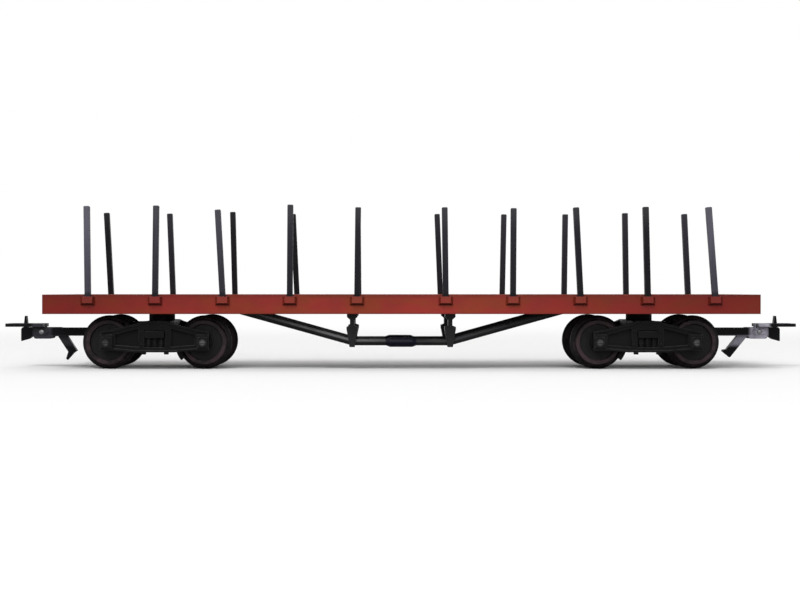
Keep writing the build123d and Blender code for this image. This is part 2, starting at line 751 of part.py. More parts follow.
# Hooks: flat levers with a spiked block in front of the pivot and a weighted tail behind it
tail_edge = hook_tail_thickness / 2
arm_top = loop_bottom - hook_stop_gap
arm_bottom = 2 * hook_pivot_z - arm_top
block_back = hook_front - hook_block_length
spike_x = hook_front - hook_spike_setback
for end, (knee, slope, tail_length, foot_reach, foot_drop) in hook_forms.items():
    tail_root = hook_pivot_x - knee
    tail_plane = Plane.XZ * Location((tail_root, hook_pivot_z, 0), (0, 0, slope - 90))
    foot_side = 1 if foot_reach > 0 else -1
    foot_edge = foot_side * tail_edge + foot_reach
    foot_end = -tail_length - foot_drop
    with BuildPart() as hook:
        with BuildSketch(Plane.XZ):
            with BuildLine():
                Polyline(
                    (tail_root, arm_top),
                    (spike_x - hook_spike_root / 2, arm_top),
                    (spike_x - hook_spike_tip / 2, hook_spike_top),
                    (spike_x + hook_spike_tip / 2, hook_spike_top),
                    (spike_x + hook_spike_root / 2, arm_top),
                    (hook_front - hook_nose, arm_top),
                    (hook_front, arm_top - hook_nose),
                    (hook_front, hook_block_bottom),
                    (block_back + hook_block_slope, hook_block_bottom + hook_block_slope),
                    (block_back - hook_block_throat, arm_bottom),
                    (tail_root, arm_bottom),
                    close=True,
                )
            make_face()
            with Locations((tail_root, hook_pivot_z)):
                Circle((arm_top - arm_bottom) / 2)
            with Locations((hook_pivot_x, hook_pivot_z)):
                Circle(hook_pin_diameter / 2 + hook_pin_fit, mode=Mode.SUBTRACT)
        extrude(amount=hook_width / 2, both=True)
        # The tail and its foot are drawn straight down from the knee, on a plane turned to the tail's slope
        with BuildSketch(tail_plane):
            with BuildLine():
                Polyline(
                    (-tail_edge, 0),
                    (-tail_edge, -tail_length),
                    (tail_edge, -tail_length),
                    (tail_edge, 0),
                    close=True,
                )
            make_face()
            with BuildLine():
                Polyline(
                    (0, -tail_length),
                    (foot_side * tail_edge, hook_foot_root - tail_length),
                    (foot_edge, foot_end + hook_foot_tip),
                    (foot_edge, foot_end),
                    close=True,
                )
            make_face()
        extrude(amount=hook_width / 2, both=True)
    save(at_end(hook.part, end), f"coupler_hook_{end}")
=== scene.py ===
import json
import math

import bmesh
import bpy
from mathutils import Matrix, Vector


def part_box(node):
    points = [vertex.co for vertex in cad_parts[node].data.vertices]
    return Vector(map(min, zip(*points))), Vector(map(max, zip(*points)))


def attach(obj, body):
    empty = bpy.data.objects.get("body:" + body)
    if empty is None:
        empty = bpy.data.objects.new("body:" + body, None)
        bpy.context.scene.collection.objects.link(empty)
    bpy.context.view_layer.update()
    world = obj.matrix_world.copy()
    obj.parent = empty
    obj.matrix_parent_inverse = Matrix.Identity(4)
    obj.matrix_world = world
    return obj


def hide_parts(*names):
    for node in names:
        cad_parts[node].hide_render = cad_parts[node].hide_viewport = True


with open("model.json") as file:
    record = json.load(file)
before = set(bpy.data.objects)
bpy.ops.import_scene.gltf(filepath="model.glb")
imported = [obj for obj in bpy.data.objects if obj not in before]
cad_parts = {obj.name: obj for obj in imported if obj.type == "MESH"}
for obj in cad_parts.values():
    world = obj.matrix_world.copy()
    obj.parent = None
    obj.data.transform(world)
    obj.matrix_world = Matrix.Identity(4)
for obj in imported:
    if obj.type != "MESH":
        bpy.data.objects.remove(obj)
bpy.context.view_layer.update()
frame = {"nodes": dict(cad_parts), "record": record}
nodes = frame["nodes"]
slotOf = {sub["node"]: sub["material_slot"] for sub in frame["record"]["subparts"]}
jointPlace = {joint["name"]: joint["pos_m"] for joint in frame["record"]["behaviour"]["joints"]}
print("frame loaded:", len(nodes), "nodes")

mm = 0.001
quarterTurn = math.radians(90.0)
endSign = {"left": -1.0, "right": 1.0}
sideSign = {"near": -1.0, "far": 1.0}

# places taken from the frame, which both finishes and fittings use
deckLow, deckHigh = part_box("deck")
sillBottom, deckTop, pocketFront = deckLow[2], deckHigh[2], deckHigh[1]
plankPitch = 2.5 * mm  # as the grooves in the deck
bogieReach = jointPlace["bogie_swivel_right"][0]
outerAxle, _, axleHeight = jointPlace["wheelset_roll_right_outer"]
halfBase = outerAxle - bogieReach
hookReach, _, hookHeight = jointPlace["hook_dip_right"]
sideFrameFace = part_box("bogie_frame_right")[1][1]


# helpers for shader trees

def emptyTree(owner):
    owner.use_nodes = True
    owner.node_tree.nodes.clear()
    return owner.node_tree


def addNode(tree, kind, inputs=None, **settings):
    node = tree.nodes.new(kind)
    for key, value in settings.items():
        setattr(node, key, value)
    for key, value in (inputs or {}).items():
        if isinstance(value, bpy.types.NodeSocket):
            tree.links.new(value, node.inputs[key])
        else:
            node.inputs[key].default_value = value
    return node


def maths(tree, operation, a, b=0.0, clamp=False):
    node = addNode(tree, "ShaderNodeMath", {0: a, 1: b}, operation=operation, use_clamp=clamp)
    return node.outputs[0]


def times(tree, value, *factors):
    for factor in factors:
        value = maths(tree, "MULTIPLY", value, factor)
    return value


def unsigned(tree, value):
    return maths(tree, "ABSOLUTE", value)


def remap(tree, value, low, high, toLow=0.0, toHigh=1.0):
    node = addNode(
        tree,
        "ShaderNodeMapRange",
        {"Value": value, "From Min": low, "From Max": high, "To Min": toLow, "To Max": toHigh},
        interpolation_type="SMOOTHSTEP",
    )
    return node.outputs["Result"]


def withAlpha(colour):
    return colour if isinstance(colour, bpy.types.NodeSocket) else (*colour, 1.0)


def mixColour(tree, factor, first, second, blend="MIX"):
    # inputs 6 and 7 of a Mix node take the colours, and output 2 gives the result
    inputs = {0: factor, 6: withAlpha(first), 7: withAlpha(second)}
    node = addNode(tree, "ShaderNodeMix", inputs, data_type="RGBA", blend_type=blend)
    return node.outputs[2]


def scaleColour(tree, colour, factor):
    node = addNode(tree, "ShaderNodeVectorMath", {0: colour, "Scale": factor}, operation="SCALE")
    return node.outputs[0]


def noise(tree, vector, scale=1.0, detail=2.0, roughness=0.5):
    node = addNode(
        tree,
        "ShaderNodeTexNoise",
        {"Vector": vector, "Scale": scale, "Detail": detail, "Roughness": roughness},
    )
    return node.outputs[0]


def ownChance(tree, number):
    node = addNode(tree, "ShaderNodeTexWhiteNoise", {"W": number}, noise_dimensions="1D")
    return node.outputs[0]


def stretch(tree, vector, scale):
    node = addNode(tree, "ShaderNodeMapping", {"Vector": vector, "Scale": scale})
    return node.outputs[0]


# what every finish shares: a span is (from, to), or (from, to, value at from, value at to)

moulding = {
    "samples": 6, "patchNoise": (4.0, 0.6),
    "edgeSpan": (0.995, 0.90), "edgePatches": (0.32, 0.62, 0.25, 1.0), "edgePolish": -0.06,
    "recessSpan": (0.25, 0.85, 1.0, 0.0),
    "dustFacing": (0.35, 0.95), "dustPatches": (0.35, 0.70, 0.30, 1.0),
    "roughPatches": (0.30, 0.70),
    "broadShare": 0.6, "patchShare": 0.4, "toneSpan": (0.36, 0.64),
}


def patchy(parts, span):
    return remap(parts["tree"], parts["patches"], *span)


# the start of every finish: its shader, where a point lies and faces, and masks for patches and worn edges
def startFinish(name, look):
    material = bpy.data.materials.new(name)
    tree = emptyTree(material)
    shader = addNode(
        tree,
        "ShaderNodeBsdfPrincipled",
        {"Metallic": look.get("metallic", 0.0), "Specular IOR Level": look["specular"]},
    )
    addNode(tree, "ShaderNodeOutputMaterial", {0: shader.outputs[0]})
    coords = addNode(tree, "ShaderNodeTexCoord").outputs["Object"]
    place = addNode(tree, "ShaderNodeSeparateXYZ", {0: coords})
    normal = addNode(tree, "ShaderNodeNewGeometry").outputs["Normal"]
    facing = addNode(tree, "ShaderNodeSeparateXYZ", {0: normal})
    bevel = addNode(tree, "ShaderNodeBevel", {"Radius": look["edgeRadius"]}, samples=moulding["samples"])
    flatness = addNode(
        tree,
        "ShaderNodeVectorMath",
        {0: bevel.outputs[0], 1: normal},
        operation="DOT_PRODUCT",
    )
    # ambient occlusion close by, which finishColour paints in as shade in the recesses
    occlusion = addNode(
        tree,
        "ShaderNodeAmbientOcclusion",
        {"Distance": look["recessReach"]},
        samples=moulding["samples"],
        only_local=True,
    )
    parts = {
        "tree": tree,
        "shader": shader,
        "coords": coords,
        "x": place.outputs[0],
        "y": place.outputs[1],
        "z": place.outputs[2],
        "across": facing.outputs[1],
        "up": facing.outputs[2],
        "bevelNormal": bevel.outputs[0],
        "patches": noise(tree, coords, look["patchScale"], *moulding["patchNoise"]),
        "grain": noise(tree, coords, look["grainScale"]),
        "recess": remap(tree, occlusion.outputs["AO"], *moulding["recessSpan"]),
    }
    edge = remap(tree, flatness.outputs["Value"], *moulding["edgeSpan"])
    parts["edge"] = times(tree, edge, patchy(parts, moulding["edgePatches"]))
    return material, parts


def twoTone(parts, look):
    tree = parts["tree"]
    broad = times(tree, noise(tree, parts["coords"], look["broadScale"]), moulding["broadShare"])
    mixed = maths(tree, "ADD", broad, times(tree, parts["patches"], moulding["patchShare"]))
    return mixColour(tree, remap(tree, mixed, *moulding["toneSpan"]), look["dark"], look["light"])


# painted shade in the recesses, dust on what faces up, and rubbed edges, which on the black moulding are
# partly a painted highlight
def finishColour(parts, look, colour):
    tree = parts["tree"]
    shaded = times(tree, parts["recess"], look["recessShade"])
    colour = mixColour(tree, shaded, colour, look["recessColour"])
    dusty = remap(tree, parts["up"], *moulding["dustFacing"])
    dusty = times(tree, dusty, patchy(parts, moulding["dustPatches"]), look["dust"])
    colour = mixColour(tree, dusty, colour, look["dustColour"])
    worn = times(tree, parts["edge"], look["edgeWear"])
    colour = mixColour(tree, worn, colour, look["edgeColour"])
    tree.links.new(colour, parts["shader"].inputs["Base Color"])


# uneven gloss, with the edges a little more polished, and the fine relief
def finishSurface(parts, look, relief, depth):
    tree = parts["tree"]
    rough = patchy(parts, (*moulding["roughPatches"], *look["rough"]))
    polish = times(tree, parts["edge"], moulding["edgePolish"])
    rough = maths(tree, "ADD", rough, polish, clamp=True)
    tree.links.new(rough, parts["shader"].inputs["Roughness"])
    bump = addNode(
        tree,
        "ShaderNodeBump",
        {"Strength": 1.0, "Distance": depth, "Height": relief, "Normal": parts["bevelNormal"]},
    )
    tree.links.new(bump.outputs[0], parts["shader"].inputs["Normal"])


# red-brown deck: depths are measured down from the deck's top and in from the pockets' fronts

redLook = {
    "dark": (0.217, 0.0225, 0.0110), "light": (0.360, 0.0400, 0.0225),
    "brown": (0.274, 0.0480, 0.0155), "crimson": (0.332, 0.0275, 0.0275),
    "hueScale": 95.0, "hueNoise": (3.0, 0.55), "hueStretch": (1.0, 1.0, 2.6),
    "hueSpan": (0.38, 0.62), "hueShare": 0.55,
    "shadeCentre": -7.0 * mm, "endSpan": (8.0 * mm, 85.0 * mm), "endShade": (0.58, 0.41, 0.38),
    "sillTones": (1.07, 0.94),
    "broadScale": 38.0, "patchScale": 210.0, "grainScale": 3200.0, "grainDepth": 0.012 * mm,
    "edgeRadius": 0.16 * mm, "edgeWear": 0.22, "edgeColour": (0.34, 0.075, 0.055),
    "recessReach": 1.9 * mm, "recessShade": 0.80, "recessColour": (0.045, 0.006, 0.0045),
    "dust": 0.10, "dustColour": (0.33, 0.16, 0.13), "specular": 0.16, "rough": (0.36, 0.52),
    "plankFacing": (0.6, 0.9), "plankDepths": (0.7 * mm, 0.4 * mm), "plankTones": (0.83, 1.102),
    "woodStretch": (3600.0, 170.0, 400.0), "woodNoise": (3.0, 0.6),
    "woodSpan": (0.3, 0.7, 0.82, 1.12), "woodDepth": 0.06 * mm,
    "lowReach": 0.45 * mm, "topReach": 1.1 * mm, "uprightFacing": (0.5, 0.2),
    "edgeDarkening": 0.60, "edgeDarkPatches": (0.30, 0.65, 0.35, 1.0), "edgeDarkColour": (0.085, 0.011, 0.009),
    "frontDepths": (0.35 * mm, 0.05 * mm), "frontFacing": (0.80, 0.97),
    "frontPatches": (0.3, 0.6, 0.3, 1.0), "frontWear": 0.24, "frontColour": (0.290, 0.062, 0.058),
    "slopeDepths": (0.85 * mm, 0.65 * mm), "slopeFacing": (0.92, 0.70),
    "slopeUnder": (-0.2, -0.5, 0.55, 1.0), "slopeShade": 0.78, "slopeColour": (0.060, 0.011, 0.007),
    "underFacing": (-0.15, -0.50), "underShade": 0.66, "underColour": (0.050, 0.007, 0.005),
}


def redTone(parts, look):
    tree = parts["tree"]
    clouds = stretch(tree, parts["coords"], look["hueStretch"])
    clouds = noise(tree, clouds, look["hueScale"], *look["hueNoise"])
    hue = mixColour(tree, remap(tree, clouds, *look["hueSpan"]), look["brown"], look["crimson"])
    colour = mixColour(tree, look["hueShare"], twoTone(parts, look), hue)
    # painted shade deepening towards the wagon's ends, and paler towards the sills' lower edges
    fromMiddle = unsigned(tree, maths(tree, "SUBTRACT", parts["x"], look["shadeCentre"]))
    atEnd = remap(tree, fromMiddle, *look["endSpan"])
    colour = mixColour(tree, atEnd, colour, look["endShade"], "MULTIPLY")
    return scaleColour(tree, colour, remap(tree, parts["z"], sillBottom, deckTop, *look["sillTones"]))


# each plank a little lighter or darker, with moulded grain along it: its tone and its relief
def plankWood(parts, look):
    tree = parts["tree"]
    onTop = remap(tree, parts["z"], *(deckTop - depth for depth in look["plankDepths"]))
    onTop = times(tree, onTop, remap(tree, parts["up"], *look["plankFacing"]))
    number = maths(tree, "ROUND", maths(tree, "DIVIDE", parts["x"], plankPitch))
    tone = remap(tree, ownChance(tree, number), 0.0, 1.0, *look["plankTones"])
    wood = stretch(tree, parts["coords"], look["woodStretch"])
    wood = noise(tree, wood, 1.0, *look["woodNoise"])
    tone = times(tree, tone, remap(tree, wood, *look["woodSpan"]))
    tone = times(tree, maths(tree, "SUBTRACT", tone, 1.0), onTop)
    return maths(tree, "ADD", tone, 1.0), times(tree, wood, onTop)


def sillWearAndShade(parts, look, colour):
    tree = parts["tree"]
    outward, sideways = unsigned(tree, parts["y"]), unsigned(tree, parts["across"])
    # darker along the sills' top and bottom edges
    low = remap(tree, parts["z"], sillBottom + look["lowReach"], sillBottom)
    high = remap(tree, parts["z"], deckTop - look["topReach"], deckTop)
    upright = remap(tree, parts["up"], *look["uprightFacing"])
    darkerEdges = maths(tree, "ADD", low, high, clamp=True)
    darkerEdges = times(tree, darkerEdges, upright, patchy(parts, look["edgeDarkPatches"]), look["edgeDarkening"])
    colour = mixColour(tree, darkerEdges, colour, look["edgeDarkColour"])
    # pocket fronts rubbed paler
    front = remap(tree, outward, *(pocketFront - depth for depth in look["frontDepths"]))
    front = times(tree, front, remap(tree, sideways, *look["frontFacing"]))
    front = times(tree, front, patchy(parts, look["frontPatches"]), look["frontWear"])
    colour = mixColour(tree, front, colour, look["frontColour"])
    # painted shade on the pocket slopes, most of all the lower ones, and on the deck's underside
    slope = remap(tree, outward, *(pocketFront - depth for depth in look["slopeDepths"]))
    slope = times(tree, slope, remap(tree, sideways, *look["slopeFacing"]))
    slope = times(tree, slope, remap(tree, parts["up"], *look["slopeUnder"]), look["slopeShade"])
    colour = mixColour(tree, slope, colour, look["slopeColour"])
    below = times(tree, remap(tree, parts["up"], *look["underFacing"]), look["underShade"])
    return mixColour(tree, below, colour, look["underColour"])


def redMoulding(look):
    material, parts = startFinish("redMoulding", look)
    tree = parts["tree"]
    plankTone, plankRelief = plankWood(parts, look)
    colour = scaleColour(tree, redTone(parts, look), plankTone)
    finishColour(parts, look, sillWearAndShade(parts, look, colour))
    fine = times(tree, parts["grain"], look["grainDepth"] / look["woodDepth"])
    finishSurface(parts, look, maths(tree, "ADD", fine, plankRelief), look["woodDepth"])
    return material


# dark grey stakes, each with its own tone, and painted light and shade by row and along the near row

stakeLook = {
    "dark": (0.0045, 0.0043, 0.0054), "light": (0.186, 0.177, 0.232),
    "pitch": 15.35 * mm, "nearSeed": 11853.0, "farSeed": 224.0, "spread": 0.6,
    "nearTone": 0.05, "farRowShade": -0.15,
    "lineStretch": (2400.0, 2400.0, 90.0), "lineShare": 0.4, "lineRelief": 0.7,
    "lightLeft": (-14.0 * mm, -70.0 * mm, 0.19, 1.0), "lightRight": (60.0 * mm, 68.0 * mm, 0.0, 0.8),
    "farRowLight": 0.30,
    "rootTone": 0.46, "rootReach": 1.0 * mm, "rootShade": 0.65, "rootColour": (0.010, 0.007, 0.007),
    "tipHeight": 37.1 * mm, "tipFade": 6.0 * mm, "tipPale": 0.3, "tipFar": 0.35,
    "tipColour": (0.105, 0.103, 0.108),
    "patchScale": 320.0, "grainScale": 2600.0, "grainDepth": 0.014 * mm,
    "edgeRadius": 0.30 * mm, "edgeWear": 0.14, "edgeColour": (0.17, 0.165, 0.18),
    "recessReach": 0.8 * mm, "recessShade": 0.5, "recessColour": (0.010, 0.010, 0.011),
    "dust": 0.2, "dustColour": (0.20, 0.20, 0.20), "specular": 0.06, "rough": (0.38, 0.55),
}


# one value for the near row of stakes, another for the far row
def byRow(parts, near, far):
    row = maths(parts["tree"], "SIGN", parts["y"])
    return remap(parts["tree"], row, sideSign["near"], sideSign["far"], near, far)


def stakeTone(parts, look, lines):
    tree = parts["tree"]
    station = maths(tree, "FLOOR", maths(tree, "DIVIDE", parts["x"], look["pitch"]))
    seed = maths(tree, "ADD", station, byRow(parts, look["nearSeed"], look["farSeed"]))
    tone = times(tree, ownChance(tree, seed), look["spread"])
    tone = maths(tree, "ADD", tone, times(tree, lines, look["lineShare"]))
    # painted shade: the far row a step darker
    tone = maths(tree, "ADD", tone, byRow(parts, look["nearTone"], look["farRowShade"]))
    # painted light: in the near row those at the ends are paler, and painted shade darkens the far row
    # evenly
    paintedLight = remap(tree, parts["x"], *look["lightLeft"])
    paintedLight = maths(tree, "ADD", paintedLight, remap(tree, parts["x"], *look["lightRight"]))
    return maths(tree, "MULTIPLY", tone, byRow(parts, paintedLight, look["farRowLight"]), clamp=True)


def stakeMoulding(look):
    material, parts = startFinish("stakeMoulding", look)
    tree = parts["tree"]
    height = parts["z"]
    lines = noise(tree, stretch(tree, parts["coords"], look["lineStretch"]))  # draw lines along the stake
    rise = remap(tree, height, deckTop, look["tipHeight"], look["rootTone"], 1.0)
    tone = times(tree, stakeTone(parts, look, lines), rise)
    colour = mixColour(tree, tone, look["dark"], look["light"])
    # a paler tip, and painted shade where the stake enters the deck
    tipStart = look["tipHeight"] - look["tipFade"]
    tip = remap(tree, height, tipStart, look["tipHeight"], 0.0, look["tipPale"])
    tip = times(tree, tip, byRow(parts, 1.0, look["tipFar"]))
    colour = mixColour(tree, tip, colour, look["tipColour"])
    root = remap(tree, height, deckTop + look["rootReach"], deckTop, 0.0, look["rootShade"])
    colour = mixColour(tree, root, colour, look["rootColour"])
    finishColour(parts, look, colour)
    relief = maths(tree, "ADD", parts["grain"], times(tree, lines, look["lineRelief"]))
    finishSurface(parts, look, relief, look["grainDepth"])
    return material


# distance from the nearest axle, as seen from the side
def axleDistance(parts):
    tree = parts["tree"]
    fromBogie = maths(tree, "SUBTRACT", unsigned(tree, parts["x"]), bogieReach)
    along = maths(tree, "SUBTRACT", unsigned(tree, fromBogie), halfBase)
    above = maths(tree, "SUBTRACT", parts["z"], axleHeight)
    squares = maths(tree, "ADD", maths(tree, "POWER", along, 2.0), maths(tree, "POWER", above, 2.0))
    return maths(tree, "SQRT", squares)


# black underframe and bogies: a painted highlight on the middles of the journal lids

blackLook = {
    "dark": (0.0028, 0.0028, 0.0030), "light": (0.0066, 0.0064, 0.0066),
    "broadScale": 60.0, "patchScale": 420.0, "grainScale": 2800.0, "grainDepth": 0.016 * mm,
    # the paler edges of the black are partly wear and partly a painted highlight
    "edgeRadius": 0.18 * mm, "edgeWear": 0.60, "edgeColour": (0.085, 0.082, 0.084),
    "recessReach": 1.0 * mm, "recessShade": 0.6, "recessColour": (0.0035, 0.0034, 0.0034),
    "dust": 0.22, "dustColour": (0.050, 0.046, 0.044), "specular": 0.075, "rough": (0.40, 0.62),
    "lidRadii": (1.0 * mm, 0.3 * mm), "lidDepths": (0.3 * mm, 0.2 * mm),
    "lidGlintPatches": (0.36, 0.60, 0.20, 0.85), "lidGlintColour": (0.135, 0.132, 0.135),
}


def blackMoulding(look):
    material, parts = startFinish("blackMoulding", look)
    tree = parts["tree"]
    paintedGlint = remap(tree, axleDistance(parts), *look["lidRadii"])
    onLid = remap(tree, unsigned(tree, parts["y"]), *(sideFrameFace - depth for depth in look["lidDepths"]))
    paintedGlint = times(tree, paintedGlint, onLid, patchy(parts, look["lidGlintPatches"]))
    finishColour(parts, look, mixColour(tree, paintedGlint, twoTone(parts, look), look["lidGlintColour"]))
    finishSurface(parts, look, parts["grain"], look["grainDepth"])
    return material


# truss rods and queen posts: a painted highlight, partly dust, along the rods' upper halves, thinner on
# turnbuckles and to the right

trussLook = {
    "dark": (0.008, 0.008, 0.009), "light": (0.019, 0.019, 0.021),
    "buckleSpan": (3.8 * mm, 3.4 * mm), "buckleColour": (0.0050, 0.0048, 0.0125), "buckleStreak": 0.15,
    "streak": 0.64, "streakColour": (0.290, 0.290, 0.300), "streakFacing": (0.05, 0.45),
    "streakPatches": (0.3, 0.6, 0.6, 1.0), "streakAlong": (-16.0 * mm, 4.0 * mm, 1.0, 0.12),
    "broadScale": 90.0, "patchScale": 380.0, "grainScale": 2600.0, "grainDepth": 0.014 * mm,
    "edgeRadius": 0.14 * mm, "edgeWear": 0.35, "edgeColour": (0.14, 0.14, 0.145),
    "recessReach": 0.9 * mm, "recessShade": 0.6, "recessColour": (0.008, 0.008, 0.009),
    "dust": 0.10, "dustColour": (0.17, 0.17, 0.17), "specular": 0.09, "rough": (0.28, 0.42),
}


def trussMoulding(look):
    material, parts = startFinish("trussMoulding", look)
    tree = parts["tree"]
    onBuckle = remap(tree, unsigned(tree, parts["x"]), *look["buckleSpan"])
    colour = mixColour(tree, onBuckle, twoTone(parts, look), look["buckleColour"])
    dustAndHighlight = times(tree, remap(tree, parts["up"], *look["streakFacing"]), look["streak"])
    dustAndHighlight = times(tree, dustAndHighlight, patchy(parts, look["streakPatches"]))
    dustAndHighlight = times(tree, dustAndHighlight, remap(tree, onBuckle, 0.0, 1.0, 1.0, look["buckleStreak"]))
    dustAndHighlight = times(tree, dustAndHighlight, remap(tree, parts["x"], *look["streakAlong"]))
    finishColour(parts, look, mixColour(tree, dustAndHighlight, colour, look["streakColour"]))
    finishSurface(parts, look, parts["grain"], look["grainDepth"])
    return material


# wheels: rims painted brown, partly rub and partly a painted sheen, and fine turning marks about the axle

wheelLook = {
    "dark": (0.0075, 0.0072, 0.0074), "light": (0.0135, 0.0128, 0.0130),
    "rimFrom": (4.0 * mm, 4.2 * mm), "rimTo": (5.9 * mm, 5.4 * mm),
    "rimPatches": (0.34, 0.66, 0.08, 1.0), "rimRubAndSheenColour": (0.056, 0.036, 0.041),
    "ringSpacing": 0.16 * mm, "ringRelief": 0.12,
    "broadScale": 80.0, "patchScale": 450.0, "grainScale": 2600.0, "grainDepth": 0.016 * mm,
    "edgeRadius": 0.13 * mm, "edgeWear": 0.45, "edgeColour": (0.052, 0.040, 0.042),
    "recessReach": 0.9 * mm, "recessShade": 0.5, "recessColour": (0.0035, 0.0033, 0.0034),
    "dust": 0.12, "dustColour": (0.045, 0.040, 0.038), "specular": 0.11, "rough": (0.36, 0.55),
}


def wheelMoulding(look):
    material, parts = startFinish("wheelMoulding", look)
    tree = parts["tree"]
    radius = axleDistance(parts)
    rim = times(tree, remap(tree, radius, *look["rimFrom"]), remap(tree, radius, *look["rimTo"]))
    rim = times(tree, rim, patchy(parts, look["rimPatches"]))
    finishColour(parts, look, mixColour(tree, rim, twoTone(parts, look), look["rimRubAndSheenColour"]))
    rings = maths(tree, "SINE", times(tree, radius, 2.0 * math.pi / look["ringSpacing"]))
    relief = maths(tree, "ADD", parts["grain"], times(tree, rings, look["ringRelief"]))
    finishSurface(parts, look, relief, look["grainDepth"])
    return material


# couplers: a painted highlight on the fork cheeks and the upper part of the tail, measured from the hook's
# pin

couplerLook = {
    "dark": (0.0026, 0.0025, 0.0034), "light": (0.0062, 0.0060, 0.0080),
    "cheekFrom": (-2.8 * mm, -1.8 * mm), "cheekTo": (2.5 * mm, 1.6 * mm),
    "tailFrom": (-0.65 * mm, -1.05 * mm), "tailTo": (-3.85 * mm, -2.65 * mm),
    "glintFacing": (0.5, 0.9), "glintPatches": (0.31, 0.50, 0.50, 1.0),
    "glintEnds": (-10.0 * mm, 10.0 * mm, 0.08, 1.0), "glintColour": (0.480, 0.463, 0.560),
    "broadScale": 110.0, "patchScale": 520.0, "grainScale": 2800.0, "grainDepth": 0.014 * mm,
    "edgeRadius": 0.13 * mm, "edgeWear": 0.5, "edgeColour": (0.070, 0.069, 0.086),
    "recessReach": 0.8 * mm, "recessShade": 0.5, "recessColour": (0.004, 0.004, 0.0045),
    "dust": 0.25, "dustColour": (0.050, 0.050, 0.056), "specular": 0.065, "rough": (0.34, 0.52),
}


def couplerMoulding(look):
    material, parts = startFinish("couplerMoulding", look)
    tree = parts["tree"]
    along = maths(tree, "SUBTRACT", unsigned(tree, parts["x"]), hookReach)
    above = maths(tree, "SUBTRACT", parts["z"], hookHeight)
    cheek, tail = remap(tree, along, *look["cheekFrom"]), remap(tree, above, *look["tailFrom"])
    paintedGlint = maths(tree, "ADD", cheek, tail, clamp=True)
    paintedGlint = times(tree, paintedGlint, remap(tree, along, *look["cheekTo"]), remap(tree, above, *look["tailTo"]))
    paintedGlint = times(tree, paintedGlint, remap(tree, unsigned(tree, parts["across"]), *look["glintFacing"]))
    paintedGlint = times(tree, paintedGlint, patchy(parts, look["glintPatches"]), remap(tree, parts["x"], *look["glintEnds"]))
    finishColour(parts, look, mixColour(tree, paintedGlint, twoTone(parts, look), look["glintColour"]))
    finishSurface(parts, look, parts["grain"], look["grainDepth"])
    return material


# axles, pins and screws, with turning marks

steelLook = {
    "dark": (0.13, 0.13, 0.135), "light": (0.27, 0.27, 0.275), "metallic": 1.0,
    "turningStretch": (200.0, 5200.0, 200.0), "turningShare": 0.3,
    "broadScale": 90.0, "patchScale": 500.0, "grainScale": 3000.0, "grainDepth": 0.008 * mm,
    "edgeRadius": 0.10 * mm, "edgeWear": 0.4, "edgeColour": (0.50, 0.50, 0.51),
    "recessReach": 0.8 * mm, "recessShade": 0.6, "recessColour": (0.055, 0.052, 0.05),
    "dust": 0.1, "dustColour": (0.22, 0.20, 0.18), "specular": 0.5, "rough": (0.26, 0.42),
}


def turnedSteel(look):
    material, parts = startFinish("turnedSteel", look)
    tree = parts["tree"]
    turning = noise(tree, stretch(tree, parts["coords"], look["turningStretch"]))
    marked = times(tree, turning, look["turningShare"])
    finishColour(parts, look, mixColour(tree, marked, twoTone(parts, look), look["dark"]))
    finishSurface(parts, look, maths(tree, "ADD", parts["grain"], turning), look["grainDepth"])
    return material


finishes = {
    "red_plastic": redMoulding(redLook),
    "stake_plastic": stakeMoulding(stakeLook),
    "black_plastic": blackMoulding(blackLook),
    "truss_plastic": trussMoulding(trussLook),
    "wheel_plastic": wheelMoulding(wheelLook),
    "coupler_plastic": couplerMoulding(couplerLook),
    "steel": turnedSteel(steelLook),
}
for name, piece in nodes.items():
    if not piece.material_slots:
        piece.data.materials.append(None)
    for holder in piece.material_slots:
        holder.material = finishes[slotOf[name]]
print("finishes:", len(finishes))


# tools for modelling the small fittings

squareOn = 0.9  # a face looks along an axis when its normal has at least this much of it
smoothAngle = math.radians(35.0)


def editMode():
    bpy.ops.object.mode_set(mode="EDIT")


def objectMode():
    bpy.ops.object.mode_set(mode="OBJECT")


def clearSelection():
    if bpy.context.object and bpy.context.object.mode != "OBJECT":
        objectMode()
    bpy.ops.object.select_all(action="DESELECT")


def pickOnly(piece):
    clearSelection()
    piece.select_set(True)
    bpy.context.view_layer.objects.active = piece


def editAll():
    editMode()
    bpy.ops.mesh.select_all(action="SELECT")


def pickFaces(piece, wanted):
    editMode()
    bpy.ops.mesh.select_mode(type="FACE")
    bpy.ops.mesh.select_all(action="DESELECT")
    mesh = bmesh.from_edit_mesh(piece.data)
    for face in mesh.faces:
        if wanted(face.calc_center_median(), face.normal):
            face.select_set(True)
    bmesh.update_edit_mesh(piece.data)


def extrudeBy(move):
    bpy.ops.mesh.extrude_region_move(TRANSFORM_OT_translate={"value": move})


def roundRim(width, segments=2):
    bpy.ops.mesh.region_to_loop()
    bpy.ops.mesh.bevel(offset=width, segments=segments, affect="EDGES")


def applyAll(piece):
    pickOnly(piece)
    for modifier in list(piece.modifiers):
        bpy.ops.object.modifier_apply(modifier=modifier.name)
    bpy.ops.object.transform_apply(location=True, rotation=True, scale=True)


def copyTo(master, place, turn=(0.0, 0.0, 0.0)):
    copy = master.copy()
    copy.data = master.data.copy()
    bpy.context.scene.collection.objects.link(copy)
    copy.location = place
    copy.rotation_euler = turn
    return copy


def joinAs(name, copies):
    pickOnly(copies[0])
    for copy in copies[1:]:
        copy.select_set(True)
    if len(copies) > 1:
        bpy.ops.object.join()
    piece = bpy.context.object
    piece.name = name
    applyAll(piece)
    return piece


def dress(piece, body, slot):
    pickOnly(piece)
    editAll()
    bpy.ops.mesh.normals_make_consistent(inside=False)
    objectMode()
    bpy.ops.object.shade_smooth_by_angle(angle=smoothAngle)
    piece.data.materials.clear()
    piece.data.materials.append(finishes[slot])
    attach(piece, body)


